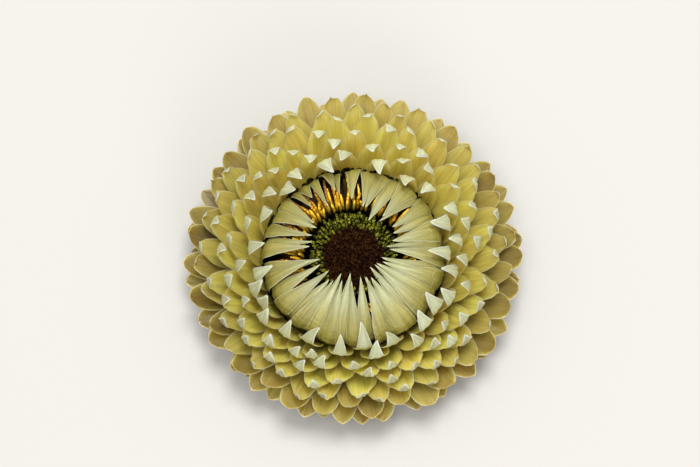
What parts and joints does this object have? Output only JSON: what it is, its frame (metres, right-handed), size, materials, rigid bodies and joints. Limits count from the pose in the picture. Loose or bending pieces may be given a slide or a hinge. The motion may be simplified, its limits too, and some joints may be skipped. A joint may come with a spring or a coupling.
{
  "type": "dried strawflower",
  "caption": "Dried strawflower head with layered papery yellow bracts, a dome of pale inner bracts and a floret disc, on a short cut stub, lying face up.",
  "frame": {"origin": "on the surface that the head lies on, under the middle of the head's box", "axes": "+Z out of the flower's face, upwards; +Y towards the side where the outer bracts reach furthest and the inner bracts stand open; +X to the right when +Y is up"},
  "size_m": [0.0624, 0.061, 0.0199],
  "materials": {
    "stem": "matte",
    "yellow_bract": "satin",
    "pale_bract": "satin",
    "rim_floret": "matte",
    "green_floret": "matte",
    "brown_floret": "matte"
  },
  "bodies": {
    "root": {"receptacle_and_stub": "stem", "yellow_bracts": "yellow_bract", "inner_bracts": "pale_bract", "rim_florets": "rim_floret", "green_florets": "green_floret", "brown_florets": "brown_floret"}
  },
  "joints": []
}
